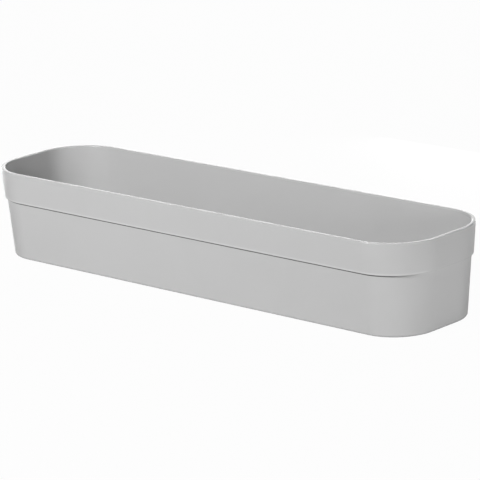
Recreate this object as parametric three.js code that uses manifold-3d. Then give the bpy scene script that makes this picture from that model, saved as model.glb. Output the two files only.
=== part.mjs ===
// A long, narrow tray for sorting small things in a drawer: open at the top, with rounded corners,
// walls that taper inwards to the base, and a raised collar round the top third.
// It is one plastic moulding. Millimetres, +Z up, +X along the length.
// The origin is the middle of the plane it stands on.

import * as THREE from "three";
import { mergeVertices } from "three/addons/utils/BufferGeometryUtils.js";
import Module from "manifold-3d";

// Overall sizes, measured over the outside of the rim before its edge is rounded
const length = 300;
const width = 76.5;
const height = 49.6;
const cornerRadius = 28.2;

// Every wall leans by this angle, inside and out, so that the tray leaves its mould and nests
const draftDegrees = 4.65;

// Thicknesses of the plain wall and of the floor
const wallThickness = 1.3;
const floorThickness = 1.6;

// The collar: how far down it reaches, how far it stands proud, and the slope under it
const collarHeight = 16.8;
const collarStep = 1.05;
const collarRampHeight = 0.15;

// Roundings, in the order they are met from the floor inside, over the rim, to the base outside
const floorFilletRadius = 3;
const rimInnerRadius = 0.8;
const rimOuterRadius = 0.5;
const collarEdgeRadius = 0.15;
const collarRootRadius = 0.15;
const baseEdgeRadius = 1.1;

// Underneath, the tray stands on a flat foot ring round a shallow recess
const footRingWidth = 5;
const recessDepth = 0.6;

// The mark that the moulding's gate leaves in the middle of the recess: a dimple with a stub in it
const gateDimpleDiameter = 7;
const gateDimpleDepth = 0.5;
const gateStubDiameter = 1.8;
const gateStubHeight = 0.3;

// How finely the curves are divided
const cornerDivisions = 8;
const largeFilletSteps = 6;
const smallFilletSteps = 4;
const gateSegments = 24;

const trayColour = 0xc6c6c6;
const trayRoughness = 0.42;

const wasm = await Module();
wasm.setup();

// Levels and insets that follow from the sizes. An inset is measured inwards from the rim's outline.
const draftSlope = Math.tan(THREE.MathUtils.degToRad(draftDegrees));
const rimThickness = wallThickness + collarStep;
const floorLevel = recessDepth + floorThickness;
const collarFootLevel = height - collarHeight;
const collarRootLevel = collarFootLevel - collarRampHeight;

const collarInset = (z) => (height - z) * draftSlope;
const outerWallInset = (z) => collarInset(z) + collarStep;
const innerWallInset = (z) => collarInset(z) + rimThickness;

const footOuterInset = outerWallInset(0);
const footInnerInset = footOuterInset + baseEdgeRadius + footRingWidth;
const recessInset = footInnerInset + recessDepth;
const floorEdgeInset = innerWallInset(floorLevel) + 2 * floorFilletRadius;

// The plan of the tray at one inset: a rounded rectangle whose corners all keep the same centres
function outlinePoints(inset) {
  const x = length / 2 - inset;
  const y = width / 2 - inset;
  const r = cornerRadius - inset;
  const quarter = Math.PI / 2;
  const shape = new THREE.Shape();
  shape.absarc(x - r, y - r, r, 0, quarter);
  shape.absarc(r - x, y - r, r, quarter, 2 * quarter);
  shape.absarc(r - x, r - y, r, 2 * quarter, 3 * quarter);
  shape.absarc(x - r, r - y, r, 3 * quarter, 4 * quarter);
  return shape.getPoints(cornerDivisions);
}

// The arc that rounds the corner between two straight stretches of the wall's section
function roundedCorner(before, corner, after, radius, steps) {
  const inward = before.clone().sub(corner).normalize();
  const outward = after.clone().sub(corner).normalize();
  const halfAngle = Math.acos(THREE.MathUtils.clamp(inward.dot(outward), -1, 1)) / 2;
  const bisector = inward.clone().add(outward).normalize();
  const centre = corner.clone().addScaledVector(bisector, radius / Math.sin(halfAngle));
  const reach = radius / Math.tan(halfAngle);
  const start = corner.clone().addScaledVector(inward, reach).sub(centre);
  const end = corner.clone().addScaledVector(outward, reach).sub(centre);
  const turn = Math.atan2(start.cross(end), start.dot(end));
  return Array.from({ length: steps + 1 }, (_, i) => {
    const spoke = start.clone().rotateAround(new THREE.Vector2(), (turn * i) / steps);
    return spoke.add(centre);
  });
}

// The wall's section as (inset, z), from the floor inside, over the rim and down to the recess
function sectionPoints() {
  const corner = (inset, z, radius = 0, steps = smallFilletSteps) => ({
    at: new THREE.Vector2(inset, z),
    radius,
    steps,
  });
  const corners = [
    corner(floorEdgeInset, floorLevel),
    corner(innerWallInset(floorLevel), floorLevel, floorFilletRadius, largeFilletSteps),
    corner(innerWallInset(height), height, rimInnerRadius),
    corner(collarInset(height), height, rimOuterRadius),
    corner(collarInset(collarFootLevel), collarFootLevel, collarEdgeRadius),
    corner(outerWallInset(collarRootLevel), collarRootLevel, collarRootRadius),
    corner(footOuterInset, 0, baseEdgeRadius),
    corner(footInnerInset, 0),
    corner(recessInset, recessDepth),
  ];
  return corners.flatMap((c, i) =>
    c.radius > 0
      ? roundedCorner(corners[i - 1].at, c.at, corners[i + 1].at, c.radius, c.steps)
      : [c.at],
  );
}

// Carries the section round the plan, as LatheGeometry carries one round an axis, and caps both ends
function sweptShell(section) {
  const rings = section.map((p) => ({ z: p.y, points: outlinePoints(p.x) }));
  const count = rings[0].points.length;
  const positions = rings.flatMap((ring) => ring.points.flatMap((p) => [p.x, p.y, ring.z]));
  const indices = [];
  for (let i = 0; i < rings.length - 1; i++) {
    for (let j = 0; j < count; j++) {
      const k = (j + 1) % count;
      const [a, b, c, d] = [i * count + j, i * count + k, (i + 1) * count + k, (i + 1) * count + j];
      indices.push(a, d, c, a, c, b);
    }
  }
  const lastRing = (rings.length - 1) * count;
  for (const [a, b, c] of THREE.ShapeUtils.triangulateShape(rings[0].points, [])) {
    indices.push(a, b, c);
  }
  for (const [a, b, c] of THREE.ShapeUtils.triangulateShape(rings.at(-1).points, [])) {
    indices.push(lastRing + c, lastRing + b, lastRing + a);
  }
  const geometry = new THREE.BufferGeometry();
  geometry.setAttribute("position", new THREE.Float32BufferAttribute(positions, 3));
  geometry.setIndex(indices);
  return geometry;
}

// What the gate's mark takes out of the underside: a round pocket that leaves the stub standing
function gateCutter() {
  const ceiling = recessDepth + gateDimpleDepth;
  const belowBase = -1;
  const profile = [
    new THREE.Vector2(0, belowBase),
    new THREE.Vector2(gateDimpleDiameter / 2, belowBase),
    new THREE.Vector2(gateDimpleDiameter / 2, ceiling),
    new THREE.Vector2(gateStubDiameter / 2, ceiling),
    new THREE.Vector2(gateStubDiameter / 2, ceiling - gateStubHeight),
    new THREE.Vector2(0, ceiling - gateStubHeight),
  ];
  return new THREE.LatheGeometry(profile, gateSegments).rotateX(Math.PI / 2);
}

function toSolid(geometry) {
  const bare = geometry.clone();
  bare.deleteAttribute("normal");
  bare.deleteAttribute("uv");
  const merged = mergeVertices(bare, 1e-4);
  const mesh = new wasm.Mesh({
    numProp: 3,
    vertProperties: merged.getAttribute("position").array,
    triVerts: new Uint32Array(merged.getIndex().array),
  });
  return new wasm.Manifold(mesh);
}

function toGeometry(solid) {
  const { vertProperties, triVerts } = solid.getMesh();
  const geometry = new THREE.BufferGeometry();
  geometry.setAttribute("position", new THREE.BufferAttribute(vertProperties, 3));
  geometry.setIndex(new THREE.BufferAttribute(triVerts, 1));
  const faceted = geometry.toNonIndexed();
  faceted.computeVertexNormals();
  return faceted;
}

const traySolid = toSolid(sweptShell(sectionPoints())).subtract(toSolid(gateCutter()));

const tray = new THREE.Mesh(
  toGeometry(traySolid),
  new THREE.MeshStandardMaterial({ color: trayColour, roughness: trayRoughness, metalness: 0 }),
);
tray.name = "tray";

const drawerOrganizer = new THREE.Group();
drawerOrganizer.add(tray);

export default drawerOrganizer;
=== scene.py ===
import math

import bpy
import numpy as np
from mathutils import Matrix, Vector


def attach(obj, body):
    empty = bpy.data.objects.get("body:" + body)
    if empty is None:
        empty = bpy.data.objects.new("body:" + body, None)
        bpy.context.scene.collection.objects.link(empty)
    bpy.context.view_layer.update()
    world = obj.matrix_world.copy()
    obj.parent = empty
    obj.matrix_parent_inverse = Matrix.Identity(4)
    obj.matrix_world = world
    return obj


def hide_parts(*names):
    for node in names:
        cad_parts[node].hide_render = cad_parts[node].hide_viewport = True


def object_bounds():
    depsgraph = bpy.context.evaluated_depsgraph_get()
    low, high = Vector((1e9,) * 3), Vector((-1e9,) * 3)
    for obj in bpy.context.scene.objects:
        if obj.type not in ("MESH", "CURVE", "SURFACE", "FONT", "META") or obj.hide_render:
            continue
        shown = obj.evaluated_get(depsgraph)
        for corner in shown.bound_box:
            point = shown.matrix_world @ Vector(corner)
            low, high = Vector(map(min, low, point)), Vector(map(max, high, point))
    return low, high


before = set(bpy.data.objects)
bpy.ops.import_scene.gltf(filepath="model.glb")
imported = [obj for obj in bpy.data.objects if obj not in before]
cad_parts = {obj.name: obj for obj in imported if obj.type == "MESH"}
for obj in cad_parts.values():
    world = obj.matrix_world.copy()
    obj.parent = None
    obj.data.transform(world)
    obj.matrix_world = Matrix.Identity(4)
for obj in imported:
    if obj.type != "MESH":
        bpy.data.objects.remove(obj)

cadBox = [list(corner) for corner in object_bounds()]

# A drawer tray in satin grey plastic. Everything is in metres, and mm turns millimetres into them.
mm = 0.001

# The tray. Its length, width and height come from the frame, and these are the sizes that the
# frame's box doesn't give. A rub is how worn an edge is, from 0 to 1. A fade is how far a wall has
# to face a long side for the painted highlight or painted shade at the collar's step to start, and to be
# full.
trayShape = {
    "cornerRadius": 28.2 * mm,      # in plan, at the widest part of the rim
    "draftDegrees": 4.65,           # how far each wall leans
    "wall": 1.3 * mm,
    "floor": 1.6 * mm,
    "collarHeight": 16.8 * mm,
    "collarStep": 1.05 * mm,
    "collarRamp": 0.15 * mm,
    "floorFillet": 3.0 * mm,
    "rimInnerRadius": 0.8 * mm,
    "rimOuterRadius": 0.5 * mm,
    "rimRub": 1.0,
    "collarEdgeRadius": 0.15 * mm,
    "collarEdgeRub": 0.7,
    "collarRootRadius": 0.15 * mm,
    "lipHighlightReach": 1.4 * mm,           # how far up from its lower edge the collar is lightened with a painted highlight
    "lipHighlightPeak": 0.6 * mm,            # where the painted highlight is palest
    "lipHighlightFades": (0.2, 0.33),
    "creaseShadeReach": 0.7 * mm,        # how far down from the collar's root the crease is darkened with painted shade
    "creaseShadeCore": 0.5 * mm,         # how far down the painted shade is darkest
    "creaseShadeFades": (0.35, 1.0),
    "baseEdgeRadius": 1.1 * mm,
    "baseEdgeRub": 0.8,
    "footRing": 5.0 * mm,
    "footRingRub": 0.3,
    "recessDepth": 0.6 * mm,
    "recessEdgeRadius": 0.25 * mm,
    "recessRunOut": 2.0 * mm,       # how far in the recess still follows the outline
    "gateDimpleRadius": 3.5 * mm,
    "gateDimpleDepth": 0.5 * mm,
    "gateStubRadius": 0.9 * mm,
    "gateStubHeight": 0.3 * mm,
    "gateEdgeRadius": 0.12 * mm,
    "gateTipRadius": 0.3 * mm,      # the last ring before the stub's pole
    "gateSteps": 3,
    "cornerSteps": 44,              # points round each plan corner
    "longSideSteps": 64,
    "endSteps": 10,
    "filletSteps": 10,
    "wallSteps": 14,
    "shortRun": 2.0 * mm,           # stretches up to this length have fewer steps
    "shortSteps": 4,
    "capSteps": 10,                 # rings on the floor, and between the recess and the gate's mark
}


# Points between two corners, close together near both: t runs as (1 - cos) / 2
def straight(start, end, steps):
    t = (1 - np.cos(np.linspace(0, math.pi, steps + 1)[1:-1])) / 2
    return start + (end - start) * t[:, None]


# The arc of one radius that touches both lines at a corner: centre plus a spoke that turns evenly
def fillet(before, corner, after, radius, steps):
    inward = (before - corner) / np.linalg.norm(before - corner)
    outward = (after - corner) / np.linalg.norm(after - corner)
    half = math.acos(np.clip(inward @ outward, -1, 1)) / 2
    bisector = (inward + outward) / np.linalg.norm(inward + outward)
    centre = corner + bisector * radius / math.sin(half)
    spoke = corner + inward * radius / math.tan(half) - centre
    last = corner + outward * radius / math.tan(half) - centre
    turn = math.atan2(spoke[0] * last[1] - spoke[1] * last[0], spoke @ last)
    angles = np.linspace(0, turn, steps + 1)[:, None]
    side = np.array([-spoke[1], spoke[0]])
    return centre + spoke * np.cos(angles) + side * np.sin(angles)


# A corner of a section, at (inset or radius, height): its rounding, how rubbed it is, and its tone, 1 for
# a painted highlight and -1 for painted shade
def sectionCorner(across, z, radius=0, rub=0, tone=0):
    return {"at": np.array([across, z]), "radius": radius, "rub": rub, "tone": tone}


# Joins arcs at the corners and straight stretches between them into one line of points. The second
# list says how far each point is on a rubbed edge, which is only the arc itself. The third is the
# tone, 1 for a painted highlight on the lip and -1 for painted shade in the crease: (1 - way) * one
# corner's + way * the next one's.
def roundedSection(corners, shape):
    points, rubbed, toned = [], [], []
    for i, corner in enumerate(corners):
        at, radius = corner["at"], corner["radius"]
        if radius:
            arc = fillet(corners[i - 1]["at"], at, corners[i + 1]["at"], radius, shape["filletSteps"])
        else:
            arc = at[None]
        if i:
            start = points[-1][-1]
            span = np.linalg.norm(arc[0] - start)
            steps = shape["wallSteps"] if span > shape["shortRun"] else shape["shortSteps"]
            run = straight(start, arc[0], steps)
            way = np.linalg.norm(run - start, axis=1) / span
            points.append(run)
            rubbed.append(np.zeros(len(run)))
            toned.append((1 - way) * corners[i - 1]["tone"] + way * corner["tone"])
        points.append(arc)
        rubbed.append(np.full(len(arc), corner["rub"]))
        toned.append(np.full(len(arc), corner["tone"]))
    return np.vstack(points), np.concatenate(rubbed), np.concatenate(toned)


# The plan as centres and outward directions, so that a point at any inset is
# centre + (radius - inset) * direction. Round a corner the directions turn about one centre, and
# along a side the centres run on to the next corner's.
def planOutline(halfLength, halfWidth, radius, shape):
    x, y = halfLength - radius, halfWidth - radius
    quarter = math.pi / 2
    sides = [shape["longSideSteps"], shape["endSteps"]] * 2
    middles = [(x, y), (-x, y), (-x, -y), (x, -y)]
    centres, directions = [], []
    for k, (middle, steps) in enumerate(zip(middles, sides)):
        angle = quarter * (k + np.linspace(0, 1, shape["cornerSteps"] + 1))
        turned = np.column_stack([np.cos(angle), np.sin(angle)])
        centres.append(np.repeat([middle], len(angle), axis=0))
        directions.append(turned)
        run = straight(np.array(middle), np.array(middles[(k + 1) % 4]), steps)
        centres.append(run)
        directions.append(np.repeat(turned[-1:], len(run), axis=0))
    return np.vstack(centres), np.vstack(directions)


# The wall's section from the floor inside, over the rim and down to the recess underneath. Every
# wall line is inset(z) = (height - z) * tan(draft), plus the collar's step and the wall's thickness.
def traySection(shape, height):
    slope = math.tan(math.radians(shape["draftDegrees"]))
    floorLevel = shape["recessDepth"] + shape["floor"]
    collarFoot = height - shape["collarHeight"]
    collarRoot = collarFoot - shape["collarRamp"]

    def collarInset(z):
        return (height - z) * slope

    def outerInset(z):
        return collarInset(z) + shape["collarStep"]

    def innerInset(z):
        return outerInset(z) + shape["wall"]

    floorEdge = innerInset(floorLevel) + 2 * shape["floorFillet"]   # clear of the fillet's end
    # where the painted highlight on the collar's lip and the painted shade in the crease under it start,
    # peak and end
    lipHighlightStart = collarFoot + shape["lipHighlightReach"]
    lipHighlightPeak = collarFoot + shape["lipHighlightPeak"]
    creaseShadeCore = collarRoot - shape["creaseShadeCore"]
    creaseShadeEnd = collarRoot - shape["creaseShadeReach"]
    ringOuter = outerInset(0)
    ringInner = ringOuter + shape["baseEdgeRadius"] + shape["footRing"]
    recess = ringInner + shape["recessDepth"]       # its wall leans by 45 degrees
    corners = [
        sectionCorner(floorEdge, floorLevel),
        sectionCorner(innerInset(floorLevel), floorLevel, shape["floorFillet"]),
        sectionCorner(innerInset(height), height, shape["rimInnerRadius"], rub=shape["rimRub"]),
        sectionCorner(collarInset(height), height, shape["rimOuterRadius"], rub=shape["rimRub"]),
        # the painted highlight on the collar's lip, then the painted shade in the crease under the collar
        sectionCorner(collarInset(lipHighlightStart), lipHighlightStart),
        sectionCorner(collarInset(lipHighlightPeak), lipHighlightPeak, tone=1),
        sectionCorner(collarInset(collarFoot), collarFoot, shape["collarEdgeRadius"],
                      rub=shape["collarEdgeRub"]),
        sectionCorner(outerInset(collarRoot), collarRoot, shape["collarRootRadius"], tone=-1),
        sectionCorner(outerInset(creaseShadeCore), creaseShadeCore, tone=-1),
        sectionCorner(outerInset(creaseShadeEnd), creaseShadeEnd),
        sectionCorner(ringOuter, 0, shape["baseEdgeRadius"], rub=shape["baseEdgeRub"]),
        sectionCorner(ringInner, 0, shape["recessEdgeRadius"], rub=shape["footRingRub"]),
        sectionCorner(recess, shape["recessDepth"], shape["recessEdgeRadius"]),
        sectionCorner(recess + shape["recessRunOut"], shape["recessDepth"]),
    ]
    return roundedSection(corners, shape)


# The gate's mark as (radius, height) points, from the recess up the dimple's wall, which leans by
# its edge's radius, and in to the stub that hangs in the middle, which leans by half of that. The
# first point lies three such radii outside the dimple.
def gateSection(shape):
    ceiling = shape["recessDepth"] + shape["gateDimpleDepth"]
    tip = ceiling - shape["gateStubHeight"]
    edge = shape["gateEdgeRadius"]
    mouth = shape["gateDimpleRadius"]
    stub = shape["gateStubRadius"]
    steps = shape["gateSteps"]
    coarse = dict(shape, filletSteps=steps, wallSteps=steps, shortSteps=steps)
    corners = [
        sectionCorner(mouth + 3 * edge, shape["recessDepth"]),
        sectionCorner(mouth, shape["recessDepth"], edge),
        sectionCorner(mouth - edge, ceiling, edge),
        sectionCorner(stub + edge / 2, ceiling, edge),
        sectionCorner(stub, tip, edge),
        sectionCorner(shape["gateTipRadius"], tip),
    ]
    return roundedSection(corners, coarse)[0]


# How far each direction faces a long side, where the painted highlight and painted shade at the step are
# full: (|y| - start) / (full - start), kept between 0 and 1
def facingSides(directions, fades):
    start, full = fades
    return np.clip((np.abs(directions[:, 1]) - start) / (full - start), 0, 1)


# Rows of (inset, z, blend, circle), one for each ring, from numbers and lists of numbers
def ringRows(inset, z, blend, circle):
    return np.column_stack(np.broadcast_arrays(inset, z, blend, circle))


# The faces over rings of points that run round a closed skin: a quad between each point, the next
# one round and the same two on the next ring, and a fan from each pole to the ring beside it
def skinFaces(ringCount, around):
    ring, step = np.meshgrid(np.arange(ringCount - 1), np.arange(around), indexing="ij")
    here, ahead = ring * around + step, ring * around + (step + 1) % around
    quads = np.stack([here, here + around, ahead + around, ahead], axis=-1).reshape(-1, 4)
    j = np.arange(around)
    k = (j + 1) % around
    last = (ringCount - 1) * around
    topPole = ringCount * around
    topFan = np.column_stack([np.full(around, topPole), j, k])
    underFan = np.column_stack([np.full(around, topPole + 1), last + k, last + j])
    return quads.tolist() + topFan.tolist() + underFan.tolist()


# Puts a value on every point of the mesh: the grid's values ring by ring, and 0 on both poles
def addPointValues(mesh, name, grid):
    values = mesh.attributes.new(name, "FLOAT", "POINT")
    values.data.foreach_set("value", np.append(grid, [0, 0]).astype(np.float32))


# One closed skin. Ring by ring it is (1 - blend) * outline(inset) + blend * circle(radius) at its
# height: blend is 0 on the walls, and brings the rings in to a pole on the floor inside and to
# the gate's mark underneath. The rub is each ring's own, and the tone (painted highlight on the lip,
# painted shade in the crease) is each ring's times a share for each direction.
def buildTray(shape, lowest, highest):
    height = highest[2] - lowest[2]
    section, rubbed, toned = traySection(shape, height)
    gate = gateSection(shape)
    widest = section[:, 0].min()    # the rim's rounding takes this much off the sharp outline
    halfLength = (highest[0] - lowest[0]) / 2 + widest
    halfWidth = (highest[1] - lowest[1]) / 2 + widest
    radius = shape["cornerRadius"]
    centres, directions = planOutline(halfLength, halfWidth, radius, shape)

    underBlend = np.linspace(0, 1, shape["capSteps"] + 1)[1:-1]
    floorBlend = 1 - underBlend
    rings = np.vstack([
        ringRows(section[0, 0], section[0, 1], floorBlend, 0),
        ringRows(section[:, 0], section[:, 1], 0, 0),
        ringRows(section[-1, 0], section[-1, 1], underBlend, gate[0, 0]),
        ringRows(section[-1, 0], gate[:, 1], 1, gate[:, 0]),
    ])
    inset, z, blend, circle = (rings[:, k, None, None] for k in range(4))
    outline = centres + (radius - inset) * directions
    base = centres + (radius - section[-1, 0]) * directions
    ray = base / np.linalg.norm(base, axis=1, keepdims=True)
    flat = (1 - blend) * outline + blend * circle * ray
    ringCount, around = flat.shape[:2]
    skin = np.concatenate([flat, np.broadcast_to(z, (ringCount, around, 1))], axis=2).reshape(-1, 3)
    poles = np.array([[0, 0, section[0, 1]], [0, 0, gate[-1, 1]]])
    vertices = np.vstack([skin, poles])
    vertices[:, 2] += lowest[2]

    mesh = bpy.data.meshes.new("tray")
    mesh.from_pydata(vertices.tolist(), [], skinFaces(ringCount, around))
    mesh.polygons.foreach_set("use_smooth", np.ones(len(mesh.polygons), bool))

    unworn = (len(floorBlend), len(underBlend) + len(gate))
    rub = np.pad(rubbed, unworn)
    tone = np.pad(toned, unworn)
    # the painted highlight on the lip and the painted shade in the crease, full along the long sides and
    # faded round the corners
    lip = np.outer(np.maximum(tone, 0), facingSides(directions, shape["lipHighlightFades"]))
    crease = np.outer(np.maximum(-tone, 0), facingSides(directions, shape["creaseShadeFades"]))
    addPointValues(mesh, "edgeWear", np.repeat(rub, around))
    addPointValues(mesh, "stepPaintedShading", lip - crease)
    mesh.validate()
    tray = bpy.data.objects.new("satin_tray", mesh)
    bpy.context.scene.collection.objects.link(tray)
    return tray


# The plastic
plasticLook = {
    "colour": (0.56, 0.56, 0.56),
    "colourVeil": (0.55, 0.55, 0.55),   # what the faint clouds in the moulding shift it to
    "cloudPerMetre": 22.0,
    "cloudDetail": 3.0,
    "cloudRoughness": 0.45,
    "cloudWarp": 0.6,
    "cloudRange": (0.3, 0.7),           # the part of the noise that is spread over 0 to 1
    "roughness": 0.3,
    "roughnessSpread": 0.05,            # how far the clouds shift it, from least to most
    "edgePolish": 0.12,                 # how much smoother a fully rubbed edge is
    "lipPaintedHighlight": 0.14,                    # how much paler the painted highlight makes the lip at the collar's lower edge
    "creasePaintedShade": 0.85,                # how much darker the painted shade makes the crease under the collar
    "ior": 1.49,
    "grainPerMetre": 3200.0,
    "grainDepth": 0.010 * mm,
    "fineGrain": {"Detail": 2.0, "Roughness": 0.55},
    "coarseGrain": {"Detail": 1.0, "Roughness": 0.5},
    "coarseFactor": 3.0,                # how many times larger the coarse grain is
}


# An empty shader node group with named sockets, and its two end nodes
def newGroup(name, inputs, outputs):
    group = bpy.data.node_groups.new(name, "ShaderNodeTree")
    for label, kind in inputs:
        group.interface.new_socket(label, in_out="INPUT", socket_type=kind)
    for label, kind in outputs:
        group.interface.new_socket(label, in_out="OUTPUT", socket_type=kind)
    return group, group.nodes.new("NodeGroupInput"), group.nodes.new("NodeGroupOutput")


# A node with its settings, and each input set to a value or linked to a socket
def addNode(tree, kind, inputs=None, **settings):
    node = tree.nodes.new(kind)
    for name, value in settings.items():
        setattr(node, name, value)
    for key, value in (inputs or {}).items():
        if isinstance(value, bpy.types.NodeSocket):
            tree.links.new(value, node.inputs[key])
        else:
            node.inputs[key].default_value = value
    return node


# The fine spark-eroded grain of the mould: noise at the full scale plus noise at a coarser one
def mouldGrainGroup(look):
    group, given, result = newGroup(
        "mouldGrain",
        [("Vector", "NodeSocketVector"), ("Scale", "NodeSocketFloat")],
        [("Height", "NodeSocketFloat")],
    )
    place, scale = given.outputs["Vector"], given.outputs["Scale"]
    coarser = addNode(group, "ShaderNodeMath", {0: scale, 1: look["coarseFactor"]}, operation="DIVIDE")
    fine = addNode(group, "ShaderNodeTexNoise", {"Vector": place, "Scale": scale, **look["fineGrain"]})
    coarse = addNode(group, "ShaderNodeTexNoise",
                     {"Vector": place, "Scale": coarser.outputs[0], **look["coarseGrain"]})
    total = addNode(group, "ShaderNodeMath", {0: fine.outputs["Fac"], 1: coarse.outputs["Fac"]},
                    operation="ADD")
    group.links.new(total.outputs[0], result.inputs["Height"])
    return group


# Slow, faint changes over a moulding, from 0 to 1: one warped noise whose middle range is spread
# over the whole
def softCloudGroup(look):
    group, given, result = newGroup(
        "softCloud",
        [("Vector", "NodeSocketVector"), ("Scale", "NodeSocketFloat")],
        [("Mask", "NodeSocketFloat")],
    )
    noise = addNode(group, "ShaderNodeTexNoise", {
        "Vector": given.outputs["Vector"],
        "Scale": given.outputs["Scale"],
        "Detail": look["cloudDetail"],
        "Roughness": look["cloudRoughness"],
        "Distortion": look["cloudWarp"],
    })
    least, most = look["cloudRange"]
    spread = addNode(group, "ShaderNodeMapRange",
                     {"Value": noise.outputs["Fac"], "From Min": least, "From Max": most})
    group.links.new(spread.outputs["Result"], result.inputs["Mask"])
    return group


# Moulded plastic. Its colour is an almost even grey times the step's painted shading, which is above 1
# where a highlight is painted on the lip and below 1 where shade is painted in the crease. Its roughness
# drifts with the clouds, less what rubbing has polished off the edges, and the mould's grain is its bump.
def satinPlastic(look, grain, cloud):
    material = bpy.data.materials.new("satinPlastic")
    material.use_nodes = True
    tree = material.node_tree
    shader = tree.nodes["Principled BSDF"]
    place = addNode(tree, "ShaderNodeTexCoord").outputs["Object"]
    veil = addNode(tree, "ShaderNodeGroup", {"Vector": place, "Scale": look["cloudPerMetre"]},
                   node_tree=cloud)
    grains = addNode(tree, "ShaderNodeGroup", {"Vector": place, "Scale": look["grainPerMetre"]},
                     node_tree=grain)
    wear = addNode(tree, "ShaderNodeAttribute", attribute_name="edgeWear")
    # the step's painted highlight (above 0) and painted shade (below 0)
    step = addNode(tree, "ShaderNodeAttribute", attribute_name="stepPaintedShading")

    colour = addNode(tree, "ShaderNodeMix", {
        "Factor": veil.outputs["Mask"],
        "A": (*look["colour"], 1),
        "B": (*look["colourVeil"], 1),
    }, data_type="RGBA")
    # painted highlight: the colour is made paler on the collar's lip
    paintedHighlight = addNode(tree, "ShaderNodeMapRange", {
        "Value": step.outputs["Fac"],
        "To Min": 1.0,
        "To Max": 1 + look["lipPaintedHighlight"],
    })
    # painted shade: the colour is made darker in the crease under the collar
    paintedShade = addNode(tree, "ShaderNodeMapRange", {
        "Value": step.outputs["Fac"],
        "From Min": -1.0,
        "From Max": 0.0,
        "To Min": 1 - look["creasePaintedShade"],
        "To Max": 1.0,
    })
    both = addNode(tree, "ShaderNodeMath", {0: paintedHighlight.outputs["Result"], 1: paintedShade.outputs["Result"]},
                   operation="MULTIPLY")
    toned = addNode(tree, "ShaderNodeVectorMath", {0: colour.outputs["Result"], "Scale": both.outputs[0]},
                    operation="SCALE")
    tree.links.new(toned.outputs["Vector"], shader.inputs["Base Color"])

    drift = addNode(tree, "ShaderNodeMapRange", {
        "Value": veil.outputs["Mask"],
        "To Min": look["roughness"] - look["roughnessSpread"] / 2,
        "To Max": look["roughness"] + look["roughnessSpread"] / 2,
    })
    polish = addNode(tree, "ShaderNodeMath", {0: wear.outputs["Fac"], 1: look["edgePolish"]},
                     operation="MULTIPLY")
    rough = addNode(tree, "ShaderNodeMath", {0: drift.outputs["Result"], 1: polish.outputs[0]},
                    operation="SUBTRACT")
    tree.links.new(rough.outputs[0], shader.inputs["Roughness"])

    bump = addNode(tree, "ShaderNodeBump",
                   {"Height": grains.outputs["Height"], "Distance": look["grainDepth"]})
    tree.links.new(bump.outputs["Normal"], shader.inputs["Normal"])
    shader.inputs["IOR"].default_value = look["ior"]
    return material


# The camera stands where the photograph was taken from
cameraView = {
    "azimuth": 42.96,
    "elevation": 15.23,
    "roll": -2.37,
    "distance": 1.53,
    "pixelsPerMillimetre": 1.888,   # at the tray's middle, in a frame 480 pixels wide
    "frameWidth": 480.0,
    "middleAt": (229.15, 236.0),    # where the tray's middle lies in that frame, from the top left
    "sensor": 36.0,                 # in millimetres, as the lens is
    "clip": (0.1, 50.0),
}


# The unit vector towards a stand: (sin a * cos e, -cos a * cos e, sin e) for the azimuth a, which
# is 0 in front and 90 to the right, and the elevation e
def directionFrom(azimuth, elevation):
    a, e = math.radians(azimuth), math.radians(elevation)
    return Vector((math.sin(a) * math.cos(e), -math.cos(a) * math.cos(e), math.sin(e)))


# The camera looks at the tray's middle from the photograph's side. The aim is then moved sideways
# and down by what separates the middle's pixel from the frame's centre. The lens is the distance
# in pixels, as a share of the frame's width, times the sensor.
def buildCamera(view, middle):
    azimuth, roll = math.radians(view["azimuth"]), math.radians(view["roll"])
    back = directionFrom(view["azimuth"], view["elevation"])
    right = Vector((math.cos(azimuth), math.sin(azimuth), 0))
    up = back.cross(right)
    rolledRight = right * math.cos(roll) + up * math.sin(roll)
    rolledUp = up * math.cos(roll) - right * math.sin(roll)
    pixel = mm / view["pixelsPerMillimetre"]
    centre = view["frameWidth"] / 2
    aim = middle + rolledRight * (centre - view["middleAt"][0]) * pixel
    aim -= rolledUp * (centre - view["middleAt"][1]) * pixel
    position = middle + back * view["distance"]

    backwards = (position - aim).normalized()
    sideways = rolledUp.cross(backwards).normalized()
    upwards = backwards.cross(sideways)
    data = bpy.data.cameras.new("photographView")
    data.lens = view["distance"] / pixel / view["frameWidth"] * view["sensor"]
    data.sensor_width = view["sensor"]
    data.clip_start, data.clip_end = view["clip"]
    camera = bpy.data.objects.new("photographView", data)
    turned = Matrix((sideways, upwards, backwards)).transposed().to_4x4()
    camera.matrix_world = Matrix.Translation(position) @ turned
    bpy.context.scene.collection.objects.link(camera)
    bpy.context.scene.camera = camera


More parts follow.
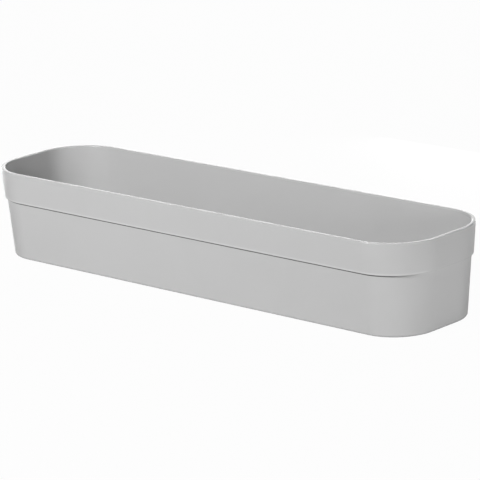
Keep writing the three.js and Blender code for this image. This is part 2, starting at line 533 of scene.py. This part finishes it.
# The soft lights: the azimuth and elevation that each comes from, its distance, its size and its
# strength. The key and a small light stand in front, two are low on the right, two behind, and a
# weak one hangs overhead. The cards stand close to the tray, at about its height.
studioLights = {
    "keyFront": {"from": (0.0, 38.0), "distance": 2.4, "size": (0.3, 0.3), "watts": 18.3},
    "frontLow": {"from": (-12.1, 29.2), "distance": 0.82, "size": (0.12, 0.12), "watts": 3.52},
    "rightLow": {"from": (60.0, 5.0), "distance": 2.4, "size": (0.36, 0.36), "watts": 5.9},
    "right": {"from": (80.0, 11.0), "distance": 2.4, "size": (0.36, 0.36), "watts": 8.0},
    "backLow": {"from": (223.0, 10.0), "distance": 2.4, "size": (0.8, 0.8), "watts": 7.0},
    "backHigh": {"from": (190.0, 45.0), "distance": 2.4, "size": (0.3, 0.3), "watts": 8.0},
    "overhead": {"from": (0.0, 89.0), "distance": 2.4, "size": (0.8, 0.8), "watts": 3.0},
    "rightCard": {"from": (90.0, 5.1), "distance": 0.452, "size": (0.12, 0.12), "watts": 0.244},
    "footCard": {"from": (90.0, -4.3), "distance": 0.201, "size": (0.08, 0.01), "watts": 0.0028},
    "backCard": {"from": (180.0, 0.0), "distance": 0.3, "size": (0.28, 0.045), "watts": 0.37},
    "leftCard": {"from": (262.0, 0.0), "distance": 0.35, "size": (0.06, 0.045), "watts": 0.13},
}


# Each lamp stands at direction * distance from the tray's middle and faces it. The camera doesn't
# see the lamps themselves.
def buildLights(lights, middle):
    for name, light in lights.items():
        data = bpy.data.lights.new(name, "AREA")
        data.shape = "RECTANGLE"
        data.size, data.size_y = light["size"]
        data.energy = light["watts"]
        towards = directionFrom(*light["from"])
        lamp = bpy.data.objects.new(name, data)
        lamp.location = middle + towards * light["distance"]
        lamp.rotation_mode = "QUATERNION"
        lamp.rotation_quaternion = towards.to_track_quat("Z", "Y")
        lamp.visible_camera = False
        bpy.context.scene.collection.objects.link(lamp)


# The floor and the room. Both look white to the camera, but the floor lights the tray as grey
# paper, and the room lights it with its own strength.
surroundings = {
    "roomStrength": 0.0,
    "floorHalfSize": 6.0,
    "floorGap": 0.05 * mm,          # keeps the floor and the foot ring out of one plane
    "floorColour": (0.46, 0.46, 0.46),
    "floorRoughness": 0.6,
    "floorSeenWhite": 0.97,         # how far the camera sees the floor as plain white
    "whiteSeen": 1.0,
}


# A square of paper. What the camera sees is (1 - share) * the paper + share * plain white.
def buildFloor(around, baseLevel):
    half = around["floorHalfSize"]
    level = baseLevel - around["floorGap"]
    mesh = bpy.data.meshes.new("floor")
    corners = [(-half, -half, level), (half, -half, level), (half, half, level), (-half, half, level)]
    mesh.from_pydata(corners, [], [(0, 1, 2, 3)])
    floor = bpy.data.objects.new("floor", mesh)
    bpy.context.scene.collection.objects.link(floor)

    material = bpy.data.materials.new("paleFloor")
    material.use_nodes = True
    tree = material.node_tree
    paper = tree.nodes["Principled BSDF"]
    paper.inputs["Base Color"].default_value = (*around["floorColour"], 1)
    paper.inputs["Roughness"].default_value = around["floorRoughness"]
    white = addNode(tree, "ShaderNodeEmission", {"Strength": around["whiteSeen"]})
    ray = addNode(tree, "ShaderNodeLightPath")
    share = addNode(tree, "ShaderNodeMath", {0: ray.outputs["Is Camera Ray"], 1: around["floorSeenWhite"]},
                    operation="MULTIPLY")
    seen = addNode(tree, "ShaderNodeMixShader",
                   {0: share.outputs[0], 1: paper.outputs[0], 2: white.outputs[0]})
    tree.links.new(seen.outputs[0], tree.nodes["Material Output"].inputs["Surface"])
    mesh.materials.append(material)


# An even room: plain white to the camera, and the room's own strength to every other ray
def buildRoom(around):
    world = bpy.data.worlds.new("whiteRoom")
    bpy.context.scene.world = world
    world.use_nodes = True
    tree = world.node_tree
    background = tree.nodes["Background"]
    background.inputs["Color"].default_value = (1, 1, 1, 1)
    ray = addNode(tree, "ShaderNodeLightPath")
    strength = addNode(tree, "ShaderNodeMapRange", {
        "Value": ray.outputs["Is Camera Ray"],
        "To Min": around["roomStrength"],
        "To Max": around["whiteSeen"],
    })
    tree.links.new(strength.outputs["Result"], background.inputs["Strength"])


settings = bpy.context.scene.view_settings
settings.view_transform = "Standard"
settings.look = "None"

lowest, highest = Vector(cadBox[0]), Vector(cadBox[1])
middle = (lowest + highest) / 2
buildCamera(cameraView, middle)
print("camera ready")

tray = buildTray(trayShape, lowest, highest)
plastic = satinPlastic(plasticLook, mouldGrainGroup(plasticLook), softCloudGroup(plasticLook))
tray.data.materials.append(plastic)
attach(tray, "root")
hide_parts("tray")
print("tray ready:", len(tray.data.polygons), "faces")

buildLights(studioLights, middle)
buildFloor(surroundings, lowest.z)
buildRoom(surroundings)
print("studio ready")
